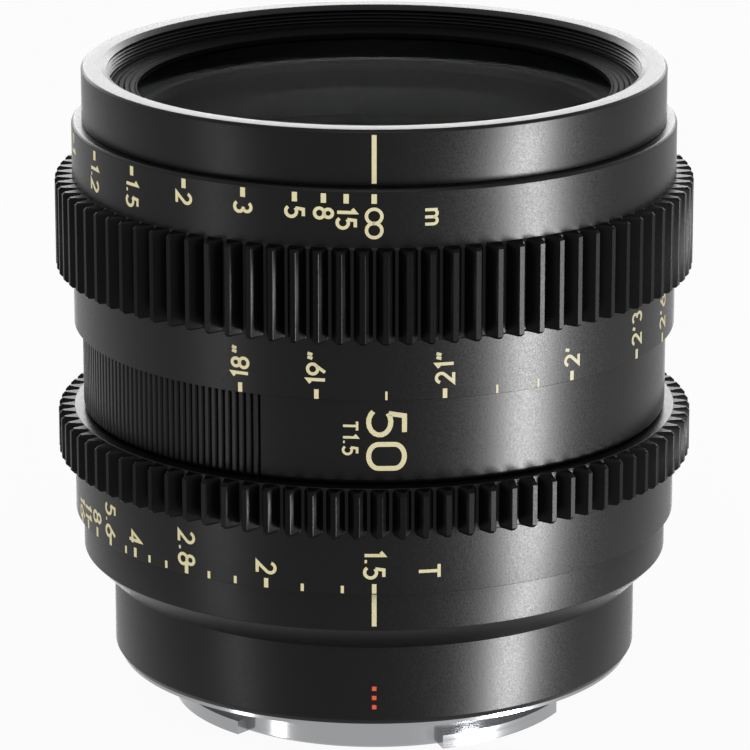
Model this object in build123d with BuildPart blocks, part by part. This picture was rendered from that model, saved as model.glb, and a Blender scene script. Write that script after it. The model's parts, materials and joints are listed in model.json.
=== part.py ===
from build123d import *

import os
from math import asin, atan2, cos, degrees, radians, sin, sqrt

os.makedirs("parts", exist_ok=True)

# Cinema prime lens, standing on its rear end, in millimetres.
# The optical axis is Z, the front points up, and the scale's reference lines face -Y.

# Lengths of the visible sections, from the rear end up
bayonet_depth = 5.45
plate_thickness = 0.5
rear_barrel_length = 9.35
index_band_length = 4.5
iris_section_length = 12.4
mid_section_length = 9.98
focus_section_length = 23.97
front_section_length = 6.25

# Radii of the visible sections
bayonet_radius = 22.0
tab_radius = 23.6
plate_radius = 29.95
rear_barrel_radius = 30.55
rear_barrel_wall = 1.5
undercut_step = 0.4
index_step = 0.9
iris_ring_step = 0.15
mid_wall = 2.85
focus_ring_wall = 1.75
front_step = 1.2

# Gears: both rings carry a standard 0.8 module follow gear
gear_module = 0.8
gear_pitch_line_height = 1.2
focus_gear_start = 6.82
focus_gear_length = 10.55
focus_gear_chamfer = 0.3
iris_gear_start = 6.9
iris_gear_length = 5.4
iris_gear_chamfer = 0.4
focus_gear_phase = -91.94
iris_gear_phase = -89.0

# Clearances
running_clearance = 0.05
end_play = 0.05
cut_overrun = 1.0

# Main barrel: one tube under all the rings
barrel_wall = 2.65
barrel_bore = 28.35
nose_height = 1.25
boss_radius = 28.4
boss_height = 2.0
shim_thickness = 0.2
barrel_floor_thickness = 3.85
barrel_floor_bore = 21.5
mid_edge_rounding = 0.7
grip_depth = 1.45
grip_start_angle = 112.0
grip_end_angle = 247.9
rib_angle = 1.5
valley_width = 0.34
valley_depth = 0.32

# Front end
rim_wall = 3.0
rim_chamfer_width = 0.75
rim_chamfer_depth = 0.46
rim_edge_break = 0.25
thread_depth = 2.3
front_glass_setback = 0.75
retainer_overlap = 0.4
retainer_land_step = 0.35
retainer_thickness = 0.9
retainer_slope = 0.3
retainer_groove_pitch = 0.63
retainer_groove_depth = 0.15
retainer_groove_count = 4
spigot_depth = 0.85
seat_lip_width = 1.0
seat_lip_thickness = 1.0
front_flange_gap = 0.3

# Focus drive
focus_throw = 205.0
focus_travel = 5.0
slip_ring_thickness = 1.22
sleeve_wall = 1.95
focus_lip_thickness = 0.7
focus_edge_chamfer = 0.3
front_slip_width = 0.4
front_slip_setback = 0.2
front_slip_depth = 0.45
roller_count = 3
roller_radius = 1.7
roller_bore_radius = 0.85
roller_start_angle = 30.0
roller_first_height = 5.72
roller_stagger = 4.0
roller_seat_depth = 0.4
roller_reach = 1.3
slot_clearance = 0.05
slot_end_margin = 0.3
stop_pin_radius = 0.6
stop_pin_angle = 45.0
focus_stop_offset = 0.95
focus_stop_rise = 0.9
stop_pin_hold = 3.0
stop_clearance = 0.1
stop_relief_height = 1.05

# Sliding carrier
carrier_gap = 1.0
carrier_bore = 27.2
carrier_front_bore = 25.6
nose_gap = 0.8
iris_shoulder_drop = 0.1

# Iris ring and its key
iris_throw = 76.0
iris_slip_offset = 2.0
iris_slip_width = 0.9
iris_slip_thickness = 0.4
iris_stop_offset = 1.6
iris_stop_depth = 1.7
key_height = 4.5
key_width = 3.0
key_tip_radius = 24.6
key_head_radius = 33.6
key_angle = 90.0
key_screw_pitch_radius = 32.0
fork_clearance = 0.05
fork_inner_radius = 24.4
fork_outer_radius = 25.9
fork_prong_width = 2.5
window_margin = 0.5

# Iris diaphragm
blade_count = 12
blade_thickness = 0.12
blade_pitch = 0.17
blade_pivot_radius = 22.5
blade_open_radius = 13.75
blade_outer_radius = 19.8
blade_sweep = 140.0
blade_swing = 32.1
blade_lever = 7.3
blade_lever_angle = 74.0
blade_boss_radius = 1.5
drive_boss_radius = 0.65
blade_root_angle = 8.0
pivot_pin_radius = 0.45
pivot_hole_radius = 0.5
pivot_engagement = 0.9
drive_pin_radius = 0.35
drive_slot_radius = 0.45
base_plate_thickness = 1.2
base_plate_bore = 14.3
base_skirt_inner_radius = 26.65
stack_gap = 0.3
actuator_thickness = 1.0
actuator_radius = 26.6
actuator_bore = 20.4
iris_retainer_inner_radius = 26.0
iris_retainer_thickness = 0.45
skirt_overhang = 0.5

# Front optical group
front_cell_flange = 1.0
front_cell_flange_radius = 27.9
front_cell_foot_gap = 2.8
front_cell_lip = 1.5
element_2_radius = 22.0
element_3_radius = 20.5
element_4_radius = 17.5
element_4_edge = 6.0
element_3_edge = 1.5
element_2_edge = 1.5
front_step_one = 6.5
front_step_two = 7.5
spacer_wall = 1.2
front_cell_retainer_width = 1.8
front_cell_retainer_height = 1.6

# Rear optical group
rear_cell_radius = 23.9
rear_cell_tail_radius = 20.2
rear_cell_tail_gap = 1.15
rear_cell_flange = 3.5
rear_cell_flange_lift = 0.5
rear_cell_top_gap = 0.5
rear_cell_lip_radius = 14.3
rear_cell_lip = 0.7
element_5_radius = 15.5
element_5_edge = 5.7
element_6_radius = 17.4
element_6_edge = 2.0
element_6_seat = 10.2
element_7_radius = 18.0
element_7_edge = 2.0
element_7_bore_depth = 3.8
rear_retainer_width = 1.6
rear_retainer_gap = 0.1

# Glass curves: radius of each polished face
front_element_front_curve = 500.0
front_element_back_curve = 250.0
element_2_front_curve = 45.0
element_2_back_curve = 120.0
element_3_front_curve = 32.0
element_3_back_curve = 80.0
element_4_front_curve = 100.0
element_4_back_curve = 30.0
element_5_front_curve = 32.0
element_5_back_curve = 120.0
element_6_curve = 60.0
element_7_front_curve = 200.0
element_7_back_curve = 70.0

# Bayonet
bayonet_bore = 20.4
tab_thickness = 1.6
tab_arcs = ((-193.0, -131.8), (-70.5, -25.5), (50.0, 110.0))
bayonet_edge_break = 0.25
lock_hole_radius = 1.2
lock_hole_depth = 1.6
lock_hole_angle = 0.0
mount_screw_count = 4
mount_screw_pitch_radius = 25.8
mount_screw_start_angle = 45.0
baffle_opening_radius = 16.0
baffle_wall = 0.7
baffle_rise = 1.4
baffle_height = 5.1
baffle_fit = 0.05
rear_edge_setback = 0.35
rear_edge_height = 0.6

# Screws: shank radius, head radius, head height and length of each size
mount_screw_shank = 1.0
mount_screw_head = 1.8
mount_screw_head_height = 1.1
mount_screw_length = 5.5
front_screw_shank = 0.6
front_screw_head = 1.0
front_screw_head_height = 0.8
front_screw_length = 5.0
front_screw_offset = 0.85
focus_screw_shank = 0.5
focus_screw_head = 0.8
focus_screw_head_height = 0.35
focus_screw_length = 4.0
focus_screw_offset = 0.9
roller_screw_head = 1.4
roller_screw_head_height = 0.5
roller_screw_length = 5.4
key_screw_shank = 0.6
key_screw_head = 0.95
key_screw_head_height = 0.8
key_screw_length = 5.2
dowel_radius = 0.6
dowel_half_length = 1.4
dowel_offset = 1.1
socket_share = 0.5
socket_depth_share = 0.6

# Radii, each worked out from the piece inside it, its wall and the clearance
barrel_radius = barrel_bore + barrel_wall
mid_radius = barrel_radius + mid_wall
spigot_radius = barrel_bore - running_clearance
carrier_radius = barrel_bore - running_clearance
ring_bore = barrel_radius + running_clearance
sleeve_radius = ring_bore + sleeve_wall
slip_ring_radius = sleeve_radius - running_clearance
focus_bore = sleeve_radius + running_clearance
focus_ring_radius = focus_bore + focus_ring_wall
front_slip_radius = sleeve_radius - front_slip_setback
iris_ring_radius = focus_ring_radius + iris_ring_step
index_radius = iris_ring_radius - index_step
front_radius = focus_ring_radius - front_step
undercut_foot_radius = rear_barrel_radius + undercut_step
rear_bore = rear_barrel_radius - rear_barrel_wall
rear_tube_radius = rear_bore - running_clearance
thread_radius = front_radius - rim_wall
rim_radius = thread_radius + rim_chamfer_width
retainer_land_radius = thread_radius - retainer_land_step
front_glass_edge_radius = barrel_bore - front_glass_setback
front_glass_seat = front_glass_edge_radius + running_clearance
retainer_inner_radius = front_glass_edge_radius - retainer_overlap
seat_lip_radius = front_glass_edge_radius - seat_lip_width
roller_top_radius = barrel_radius + roller_reach
focus_stop_pitch_radius = ring_bore + focus_stop_offset
focus_screw_pitch_radius = ring_bore + focus_screw_offset
front_screw_pitch_radius = barrel_bore + front_screw_offset
iris_slip_inner_radius = barrel_radius + iris_slip_offset
iris_slip_outer_radius = iris_slip_inner_radius + iris_slip_width
iris_stop_pitch_radius = barrel_radius + iris_stop_offset
dowel_pitch_radius = rear_tube_radius + dowel_offset
gear_teeth = round(2 * (focus_ring_radius + gear_pitch_line_height) / gear_module)

# Levels of the joint lines, up from the rear end
flange_level = bayonet_depth
plate_top = flange_level + plate_thickness
undercut_foot = plate_top + rear_barrel_length
index_foot = undercut_foot + index_radius - undercut_foot_radius
iris_foot = index_foot + index_band_length
mid_foot = iris_foot + iris_section_length
focus_foot = mid_foot + mid_section_length
front_foot = focus_foot + focus_section_length
front_top = front_foot + front_section_length

# Levels inside
boss_top = plate_top + boss_height - plate_thickness
barrel_foot = boss_top + shim_thickness
barrel_floor = barrel_foot + barrel_floor_thickness
barrel_top = front_foot + nose_height
spigot_foot = front_foot - spigot_depth
carrier_foot = barrel_floor + carrier_gap
carrier_top = spigot_foot - nose_gap - front_cell_flange - focus_travel
iris_shoulder = mid_foot - iris_shoulder_drop
base_plate_foot = iris_shoulder - base_plate_thickness
blade_stack = blade_pitch * (blade_count - 1) + blade_thickness
blade_top = base_plate_foot - stack_gap
actuator_top = blade_top - blade_stack - stack_gap
actuator_foot = actuator_top - actuator_thickness
iris_retainer_top = actuator_foot - running_clearance
iris_retainer_foot = iris_retainer_top - iris_retainer_thickness
skirt_foot = iris_retainer_foot - skirt_overhang
key_level = iris_foot + key_height
sleeve_foot = focus_foot + slip_ring_thickness
focus_ring_top = front_foot - end_play
sleeve_top = focus_ring_top - focus_lip_thickness
slot_half_width = roller_radius + slot_clearance


def polar(radius, angle):
    return (radius * cos(radians(angle)), radius * sin(radians(angle)))


def arc_span(length, radius):
    """Angle, in degrees, that a short length covers at a radius."""
    return degrees(asin(length / radius))


def sagitta(curve, radius):
    return curve - sqrt(curve**2 - radius**2)


def radial_plane(angle, level, radius):
    """Plane that faces outwards, with Y up, at a radius from the optical axis."""
    outward = (cos(radians(angle)), sin(radians(angle)), 0)
    across = (-sin(radians(angle)), cos(radians(angle)), 0)
    x, y = polar(radius, angle)
    return Plane(origin=(x, y, level), x_dir=across, z_dir=outward)


def sector_points(inner, outer, start, end):
    """Corners and arc midpoints of a ring sector."""
    middle = (start + end) / 2
    return [polar(r, a) for r in (inner, outer) for a in (start, middle, end)]


def gear_points(phase):
    """Outline of a follow gear: straight flanks close to the involute of so many teeth."""
    pitch_radius = gear_module * gear_teeth / 2
    tip_radius = pitch_radius + gear_module
    root_radius = pitch_radius - gear_module * 1.25
    pitch_angle = 360 / gear_teeth
    tip_half = pitch_angle * 0.1265
    root_half = pitch_angle * 0.3975
    points = []
    for tooth in range(gear_teeth):
        middle = phase + tooth * pitch_angle
        points.append(polar(root_radius, middle - root_half))
        points.append(polar(tip_radius, middle - tip_half))
        points.append(polar(tip_radius, middle + tip_half))
        points.append(polar(root_radius, middle + root_half))
    return points


def turned(profile):
    """Solid turned from a closed profile of (radius, level) points."""
    with BuildPart() as solid:
        with BuildSketch(Plane.XZ):
            with BuildLine():
                Polyline(*profile, close=True)
            make_face()
        revolve(axis=Axis.Z)
    return solid.part


def tube(inner, outer, foot, top):
    return turned([(inner, foot), (outer, foot), (outer, top), (inner, top)])


def sector(inner, outer, start, end, foot, top):
    """Block between two radii, two angles and two levels."""
    a, b, c, d, e, f = sector_points(inner, outer, start, end)
    with BuildPart() as solid:
        with BuildSketch(Plane.XY.offset(foot)):
            with BuildLine():
                ThreePointArc(a, b, c)
                Line(c, f)
                ThreePointArc(f, e, d)
                Line(d, a)
            make_face()
        extrude(amount=top - foot)
    return solid.part


def cap_screw(shank, head, head_height, length):
    """Cap screw that points down, with the top of its head at level zero."""
    with BuildPart() as screw:
        with BuildSketch(Plane.XY.offset(-head_height)):
            Circle(head)
        extrude(amount=head_height)
        with BuildSketch(Plane.XY.offset(-length)):
            Circle(shank)
        extrude(amount=length - head_height)
        with BuildSketch(Plane.XY.offset(-head_height * socket_depth_share)):
            RegularPolygon(head * socket_share, 6)
        extrude(amount=head_height, mode=Mode.SUBTRACT)
    return screw.part


def lens_element(edge_radius, edge_foot, edge_top, back_curve, front_curve):
    """Glass with two polished faces: a plus curve bulges out, a minus curve is hollow."""
    back_depth = sagitta(abs(back_curve), edge_radius)
    front_depth = sagitta(abs(front_curve), edge_radius)
    back_pole = edge_foot - back_depth if back_curve > 0 else edge_foot + back_depth
    front_pole = edge_top + front_depth if front_curve > 0 else edge_top - front_depth
    back_centre = back_pole + back_curve
    front_centre = front_pole - front_curve
    half = edge_radius / 2
    back_sign = 1 if back_curve > 0 else -1
    front_sign = 1 if front_curve > 0 else -1
    back_middle = back_centre - back_sign * sqrt(back_curve**2 - half**2)
    front_middle = front_centre + front_sign * sqrt(front_curve**2 - half**2)
    with BuildPart() as element:
        with BuildSketch(Plane.XZ):
            with BuildLine():
                ThreePointArc((0, back_pole), (half, back_middle), (edge_radius, edge_foot))
                Line((edge_radius, edge_foot), (edge_radius, edge_top))
                ThreePointArc((edge_radius, edge_top), (half, front_middle), (0, front_pole))
                Line((0, front_pole), (0, back_pole))
            make_face()
        revolve(axis=Axis.Z)
    return element.part


def seat_rise(curve, edge_radius, width):
    """How far a polished face has curved away from its edge, one ring width further in."""
    return sagitta(curve, edge_radius) - sagitta(curve, edge_radius - width)


def spots(radius, start, count):
    """Angles and places of a ring of equal fasteners."""
    return [(start + k * 360 / count, polar(radius, start + k * 360 / count)) for k in range(count)]


def save(part, name):
    part.label = name
    export_step(part, f"parts/{name}.step")


roller_angles = [roller_start_angle + k * 360 / roller_count for k in range(roller_count)]
roller_levels = [
    focus_foot + roller_first_height + k * roller_stagger for k in range(roller_count)
]
mount_screw_spots = spots(mount_screw_pitch_radius, mount_screw_start_angle, mount_screw_count)
front_screw_spots = spots(front_screw_pitch_radius, mount_screw_start_angle, mount_screw_count)
focus_screw_spots = spots(focus_screw_pitch_radius, roller_start_angle, roller_count)

# Main barrel: the tube that carries everything, with the visible middle section
key_half_angle = arc_span(key_width / 2 + window_margin, carrier_bore)
with BuildPart() as main_barrel:
    with BuildSketch(Plane.XZ):
        with BuildLine():
            Polyline(
                (barrel_floor_bore, barrel_foot),
                (rear_tube_radius, barrel_foot),
                (rear_tube_radius, iris_foot),
                (barrel_radius, iris_foot),
                (barrel_radius, mid_foot),
                (mid_radius - mid_edge_rounding, mid_foot),
            )
            RadiusArc(
                (mid_radius - mid_edge_rounding, mid_foot),
                (mid_radius, mid_foot + mid_edge_rounding),
                -mid_edge_rounding,
            )
            Polyline(
                (mid_radius, mid_foot + mid_edge_rounding),
                (mid_radius, focus_foot),
                (barrel_radius, focus_foot),
                (barrel_radius, barrel_top),
                (barrel_bore, barrel_top),
                (barrel_bore, barrel_floor),
                (barrel_floor_bore, barrel_floor),
                (barrel_floor_bore, barrel_foot),
            )
        make_face()
    revolve(axis=Axis.Z)
    # Seat of the ribbed grip segment
    add(
        sector(
            mid_radius - grip_depth,
            mid_radius + cut_overrun,
            grip_start_angle,
            grip_end_angle,
            mid_foot - end_play / 2,
            focus_foot + end_play / 2,
        ),
        mode=Mode.SUBTRACT,
    )
    # Straight guide slots of the three cam rollers
    for angle, level in zip(roller_angles, roller_levels):
        slot_middle = level + focus_travel / 2
        with BuildSketch(radial_plane(angle, slot_middle, barrel_bore - cut_overrun)):
            SlotCenterToCenter(focus_travel + 2 * slot_end_margin, 2 * slot_half_width, rotation=90)
        extrude(amount=barrel_radius - barrel_bore + 2 * cut_overrun, mode=Mode.SUBTRACT)
    # Window that the iris key sweeps through
    add(
        sector(
            barrel_bore - cut_overrun,
            barrel_radius + cut_overrun,
            key_angle - key_half_angle,
            key_angle + iris_throw + key_half_angle,
            key_level - key_width / 2 - window_margin,
            key_level + key_width / 2 + window_margin,
        ),
        mode=Mode.SUBTRACT,
    )
    # Holes of the two stop pins, the dowel and the screws
    with BuildSketch(Plane.XY.offset(focus_foot - stop_pin_hold)):
        with Locations(polar(focus_stop_pitch_radius, stop_pin_angle)):
            Circle(stop_pin_radius)
    extrude(amount=stop_pin_hold + cut_overrun, mode=Mode.SUBTRACT)
    with BuildSketch(Plane.XY.offset(mid_foot - cut_overrun)):
        with Locations(polar(iris_stop_pitch_radius, stop_pin_angle)):
            Circle(stop_pin_radius)
    extrude(amount=stop_pin_hold + cut_overrun, mode=Mode.SUBTRACT)
    with BuildSketch(Plane.XY.offset(iris_foot)):
        with Locations(polar(dowel_pitch_radius, stop_pin_angle)):
            Circle(dowel_radius)
    extrude(amount=dowel_half_length, mode=Mode.SUBTRACT)
    with BuildSketch(Plane.XY.offset(barrel_foot - cut_overrun)):
        with Locations(*[spot for _, spot in mount_screw_spots]):
            Circle(mount_screw_shank)
    extrude(amount=cut_overrun + mount_screw_length - boss_height - shim_thickness, mode=Mode.SUBTRACT)
    with BuildSketch(Plane.XY.offset(barrel_top)):
        with Locations(*[spot for _, spot in front_screw_spots]):
            Circle(front_screw_shank)
    extrude(amount=-front_screw_length, mode=Mode.SUBTRACT)
save(main_barrel.part, "main_barrel")

# Ribbed grip segment, set into the middle section
with BuildPart() as grip_segment:
    add(
        sector(
            mid_radius - grip_depth,
            mid_radius,
            grip_start_angle,
            grip_end_angle,
            mid_foot,
            focus_foot,
        )
    )
    rib_count = round((grip_end_angle - grip_start_angle) / rib_angle)
    with BuildSketch(Plane.XY.offset(mid_foot - cut_overrun)):
        for rib in range(1, rib_count):
            valley = grip_end_angle - rib * rib_angle
            side = arc_span(valley_width / 2, mid_radius)
            with BuildLine():
                Polyline(
                    polar(mid_radius - valley_depth, valley),
                    polar(mid_radius + running_clearance, valley - side),
                    polar(mid_radius + running_clearance, valley + side),
                    close=True,
                )
            make_face()
    extrude(amount=mid_section_length + 2 * cut_overrun, mode=Mode.SUBTRACT)
save(grip_segment.part, "grip_segment")

# Front ring: clamp diameter outside, filter thread and glass seat inside
retainer_level = front_top - thread_depth - retainer_thickness
front_seat = front_foot + seat_lip_thickness - spigot_depth
with BuildPart() as front_ring:
    with BuildSketch(Plane.XZ):
        with BuildLine():
            Polyline(
                (barrel_radius, front_foot),
                (front_radius, front_foot),
                (front_radius, front_top - rim_edge_break),
                (front_radius - rim_edge_break, front_top),
                (rim_radius, front_top),
                (thread_radius, front_top - rim_chamfer_depth),
                (thread_radius, front_top - thread_depth),
                (retainer_land_radius, front_top - thread_depth),
                (retainer_land_radius, retainer_level - front_flange_gap),
                (front_glass_seat, retainer_level - front_flange_gap),
                (front_glass_seat, front_seat),
                (seat_lip_radius, front_seat),
                (seat_lip_radius, spigot_foot),
                (spigot_radius, spigot_foot),
                (spigot_radius, barrel_top),
                (barrel_radius, barrel_top),
                close=True,
            )
        make_face()
    revolve(axis=Axis.Z)
    with BuildSketch(Plane.XY.offset(barrel_top - cut_overrun)):
        with Locations(*[spot for _, spot in front_screw_spots]):
            Circle(front_screw_shank)
    extrude(amount=2 * cut_overrun + front_screw_head_height, mode=Mode.SUBTRACT)
    with BuildSketch(Plane.XY.offset(retainer_level - front_flange_gap - front_screw_head_height)):
        with Locations(*[spot for _, spot in front_screw_spots]):
            Circle(front_screw_head)
    extrude(amount=front_screw_head_height + front_flange_gap, mode=Mode.SUBTRACT)
save(front_ring.part, "front_ring")

# Front retaining ring, with fine concentric grooves on its inner half
groove_half = retainer_groove_pitch / 4
land_slope = retainer_slope / (retainer_land_radius - retainer_inner_radius)
retainer_top = retainer_level + retainer_thickness
retainer_profile = [
    (retainer_inner_radius, retainer_level),
    (retainer_land_radius, retainer_level),
    (retainer_land_radius, retainer_top),
]
for groove in range(retainer_groove_count):
    outward = retainer_groove_pitch * (retainer_groove_count - groove)
    middle = retainer_inner_radius + outward - retainer_groove_pitch / 2
    level = retainer_top - land_slope * (retainer_land_radius - middle)
    retainer_profile.append((middle + groove_half, level))
    retainer_profile.append((middle, level - retainer_groove_depth))
    retainer_profile.append((middle - groove_half, level))
retainer_profile.append((retainer_inner_radius, retainer_top - retainer_slope))
save(turned(retainer_profile), "front_retaining_ring")

# Front glass, held where its front face meets the retaining ring
front_edge_rise = seat_rise(
    front_element_front_curve,
    front_glass_edge_radius,
    front_glass_edge_radius - retainer_inner_radius,
)
front_element = lens_element(
    front_glass_edge_radius,
    front_seat,
    retainer_level - front_edge_rise,
    -front_element_back_curve,
    front_element_front_curve,
)
save(front_element, "front_element")

# Screws that hold the front ring to the barrel
front_screw = cap_screw(
    front_screw_shank, front_screw_head, front_screw_head_height, front_screw_length
)
with BuildPart() as front_ring_screws:
    with Locations(
        *[(x, y, retainer_level - front_flange_gap) for _, (x, y) in front_screw_spots]
    ):
        add(front_screw)
save(front_ring_screws.part, "front_ring_screws")

# Focus ring: two scale bands with the follow gear between them
focus_ring_foot = focus_foot + end_play
gear_tip_radius = gear_module * (gear_teeth / 2 + 1)
focus_gear_foot = focus_foot + focus_gear_start
focus_gear_top = focus_gear_foot + focus_gear_length
with BuildPart() as focus_ring:
    with BuildSketch(Plane.XZ):
        with BuildLine():
            Polyline(
                (focus_bore, focus_ring_foot),
                (focus_ring_radius, focus_ring_foot),
                (focus_ring_radius, focus_ring_top - focus_edge_chamfer),
                (focus_ring_radius - focus_edge_chamfer, focus_ring_top),
                (front_slip_radius + front_slip_width, focus_ring_top),
                (front_slip_radius + front_slip_width, focus_ring_top - front_slip_depth),
                (front_slip_radius, focus_ring_top - front_slip_depth),
                (front_slip_radius, focus_ring_top),
                (ring_bore, focus_ring_top),
                (ring_bore, sleeve_top),
                (focus_bore, sleeve_top),
                close=True,
            )
        make_face()
    revolve(axis=Axis.Z)
    with BuildSketch(Plane.XY.offset(focus_gear_foot)):
        with BuildLine():
            Polyline(*gear_points(focus_gear_phase), close=True)
        make_face()
        Circle(focus_bore, mode=Mode.SUBTRACT)
    extrude(amount=focus_gear_length)
    with BuildSketch(Plane.XZ):
        for level, rise in ((focus_gear_foot, 1), (focus_gear_top, -1)):
            with BuildLine():
                Polyline(
                    (gear_tip_radius - focus_gear_chamfer, level),
                    (gear_tip_radius, level + rise * focus_gear_chamfer),
                    (gear_tip_radius + focus_gear_chamfer, level),
                    close=True,
                )
            make_face()
    revolve(axis=Axis.Z, mode=Mode.SUBTRACT)
    with BuildSketch(Plane.XY.offset(sleeve_top - cut_overrun)):
        with Locations(*[spot for _, spot in focus_screw_spots]):
            Circle(focus_screw_shank)
    extrude(amount=2 * cut_overrun, mode=Mode.SUBTRACT)
    with BuildSketch(Plane.XY.offset(focus_ring_top - focus_screw_head_height)):
        with Locations(*[spot for _, spot in focus_screw_spots]):
            Circle(focus_screw_head)
    extrude(amount=cut_overrun, mode=Mode.SUBTRACT)
save(focus_ring.part, "focus_ring")

# Helical slot of the cam sleeve, made once from its start at angle zero and level zero
slot_middle_radius = (barrel_radius + sleeve_radius) / 2
slot_reach = sleeve_radius - barrel_radius + 2 * cut_overrun
lead = focus_travel * 360 / focus_throw
with BuildPart() as helical_slot:
    with BuildLine() as slot_path:
        Helix(lead, focus_travel, slot_middle_radius, lefthand=True)
    slot_start = Plane(
        origin=slot_path.line @ 0, x_dir=(1, 0, 0), z_dir=slot_path.line % 0
    )
    with BuildSketch(slot_start):
        Rectangle(slot_reach, 2 * slot_half_width)
    sweep(path=slot_path.line, is_frenet=True)
    for angle, level in ((0, 0), (-focus_throw, focus_travel)):
        with BuildSketch(radial_plane(angle, level, slot_middle_radius - slot_reach / 2)):
            Circle(slot_half_width)
        extrude(amount=slot_reach)

# Cam sleeve: turns with the focus ring and drives the rollers
stop_half_angle = arc_span(stop_pin_radius + stop_clearance, focus_stop_pitch_radius)
with BuildPart() as cam_sleeve:
    with BuildSketch(Plane.XY.offset(sleeve_foot)):
        Circle(sleeve_radius)
        Circle(ring_bore, mode=Mode.SUBTRACT)
    extrude(amount=sleeve_top - sleeve_foot)
    for angle, level in zip(roller_angles, roller_levels):
        with Locations(Location((0, 0, level), (0, 0, angle))):
            add(helical_slot.part, mode=Mode.SUBTRACT)
    add(
        sector(
            barrel_radius,
            sleeve_radius + cut_overrun,
            stop_pin_angle - focus_throw - stop_half_angle,
            stop_pin_angle + stop_half_angle,
            sleeve_foot - cut_overrun,
            sleeve_foot + stop_relief_height,
        ),
        mode=Mode.SUBTRACT,
    )
    with BuildSketch(Plane.XY.offset(sleeve_top)):
        with Locations(*[spot for _, spot in focus_screw_spots]):
            Circle(focus_screw_shank)
    extrude(amount=-focus_screw_length, mode=Mode.SUBTRACT)
save(cam_sleeve.part, "cam_sleeve")

# Screws through the lip of the focus ring into the sleeve
focus_screw = cap_screw(
    focus_screw_shank, focus_screw_head, focus_screw_head_height, focus_screw_length
)
with BuildPart() as focus_ring_screws:
    with Locations(*[(x, y, focus_ring_top) for _, (x, y) in focus_screw_spots]):
        add(focus_screw)
save(focus_ring_screws.part, "focus_ring_screws")

# Slip rings: thin washers that the two rings run on
with BuildPart() as middle_slip_ring:
    add(tube(ring_bore, slip_ring_radius, focus_foot, sleeve_foot))
    with BuildSketch(Plane.XY.offset(focus_foot)):
        with Locations(polar(focus_stop_pitch_radius, stop_pin_angle)):
            Circle(stop_pin_radius)
    extrude(amount=slip_ring_thickness, mode=Mode.SUBTRACT)
save(middle_slip_ring.part, "middle_slip_ring")
front_slip_ring = tube(
    front_slip_radius + running_clearance,
    front_slip_radius + front_slip_width - running_clearance,
    focus_ring_top - front_slip_depth,
    front_foot,
)
save(front_slip_ring, "front_slip_ring")
iris_slip_ring = tube(
    iris_slip_inner_radius, iris_slip_outer_radius, iris_foot, iris_foot + iris_slip_thickness
)
save(iris_slip_ring, "iris_slip_ring")

# Stop pins of the focus ring and the iris ring
with BuildPart() as focus_stop_pin:
    with BuildSketch(Plane.XY.offset(focus_foot - stop_pin_hold)):
        with Locations(polar(focus_stop_pitch_radius, stop_pin_angle)):
            Circle(stop_pin_radius)
    extrude(amount=stop_pin_hold + slip_ring_thickness + focus_stop_rise)
save(focus_stop_pin.part, "focus_stop_pin")
with BuildPart() as iris_stop_pin:
    with BuildSketch(Plane.XY.offset(mid_foot - iris_stop_depth)):
        with Locations(polar(iris_stop_pitch_radius, stop_pin_angle)):
            Circle(stop_pin_radius)
    extrude(amount=iris_stop_depth + stop_pin_hold)
save(iris_stop_pin.part, "iris_stop_pin")

# Iris ring: scale band with its follow gear at the front edge
iris_ring_foot = iris_foot + end_play
iris_ring_top = mid_foot - end_play
iris_gear_foot = iris_foot + iris_gear_start
iris_gear_top = iris_gear_foot + iris_gear_length
iris_stop_half_angle = arc_span(stop_pin_radius + stop_clearance, iris_stop_pitch_radius)
key_screw_spot = polar(key_screw_pitch_radius, key_angle)
with BuildPart() as iris_ring:
    with BuildSketch(Plane.XZ):
        with BuildLine():
            Polyline(
                (ring_bore, iris_ring_foot),
                (iris_slip_inner_radius - running_clearance, iris_ring_foot),
                (iris_slip_inner_radius - running_clearance, iris_foot + iris_slip_thickness),
                (iris_slip_outer_radius + running_clearance, iris_foot + iris_slip_thickness),
                (iris_slip_outer_radius + running_clearance, iris_ring_foot),
                (iris_ring_radius, iris_ring_foot),
                (iris_ring_radius, iris_ring_top),
                (ring_bore, iris_ring_top),
                close=True,
            )
        make_face()
    revolve(axis=Axis.Z)
    with BuildSketch(Plane.XY.offset(iris_gear_foot)):
        with BuildLine():
            Polyline(*gear_points(iris_gear_phase), close=True)
        make_face()
        Circle(ring_bore, mode=Mode.SUBTRACT)
    extrude(amount=iris_gear_length)
    with BuildSketch(Plane.XZ):
        for level, rise in ((iris_gear_foot, 1), (iris_gear_top, -1)):
            with BuildLine():
                Polyline(
                    (gear_tip_radius - iris_gear_chamfer, level),
                    (gear_tip_radius, level + rise * iris_gear_chamfer),
                    (gear_tip_radius + iris_gear_chamfer, level),
                    close=True,
                )
            make_face()
    revolve(axis=Axis.Z, mode=Mode.SUBTRACT)
    # Groove that the stop pin runs in
    add(
        sector(
            iris_stop_pitch_radius - stop_pin_radius - stop_clearance,
            iris_stop_pitch_radius + stop_pin_radius + stop_clearance,
            stop_pin_angle - iris_throw - iris_stop_half_angle,
            stop_pin_angle + iris_stop_half_angle,
            mid_foot - iris_stop_depth - stop_clearance,
            mid_foot,
        ),
        mode=Mode.SUBTRACT,
    )
    # Pocket of the key, open to the bore, and the hole of its screw
    with BuildSketch(radial_plane(key_angle, key_level, barrel_radius - cut_overrun)):
        Rectangle(key_width, key_width)
    extrude(amount=key_head_radius - barrel_radius + cut_overrun, mode=Mode.SUBTRACT)
    with BuildSketch(Plane.XY.offset(iris_ring_foot)):
        with Locations(key_screw_spot):
            Circle(key_screw_shank)
    extrude(amount=key_screw_length, mode=Mode.SUBTRACT)
    with BuildSketch(Plane.XY.offset(iris_ring_foot)):
        with Locations(key_screw_spot):
            Circle(key_screw_head)
    extrude(amount=key_screw_head_height, mode=Mode.SUBTRACT)
save(iris_ring.part, "iris_ring")

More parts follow.
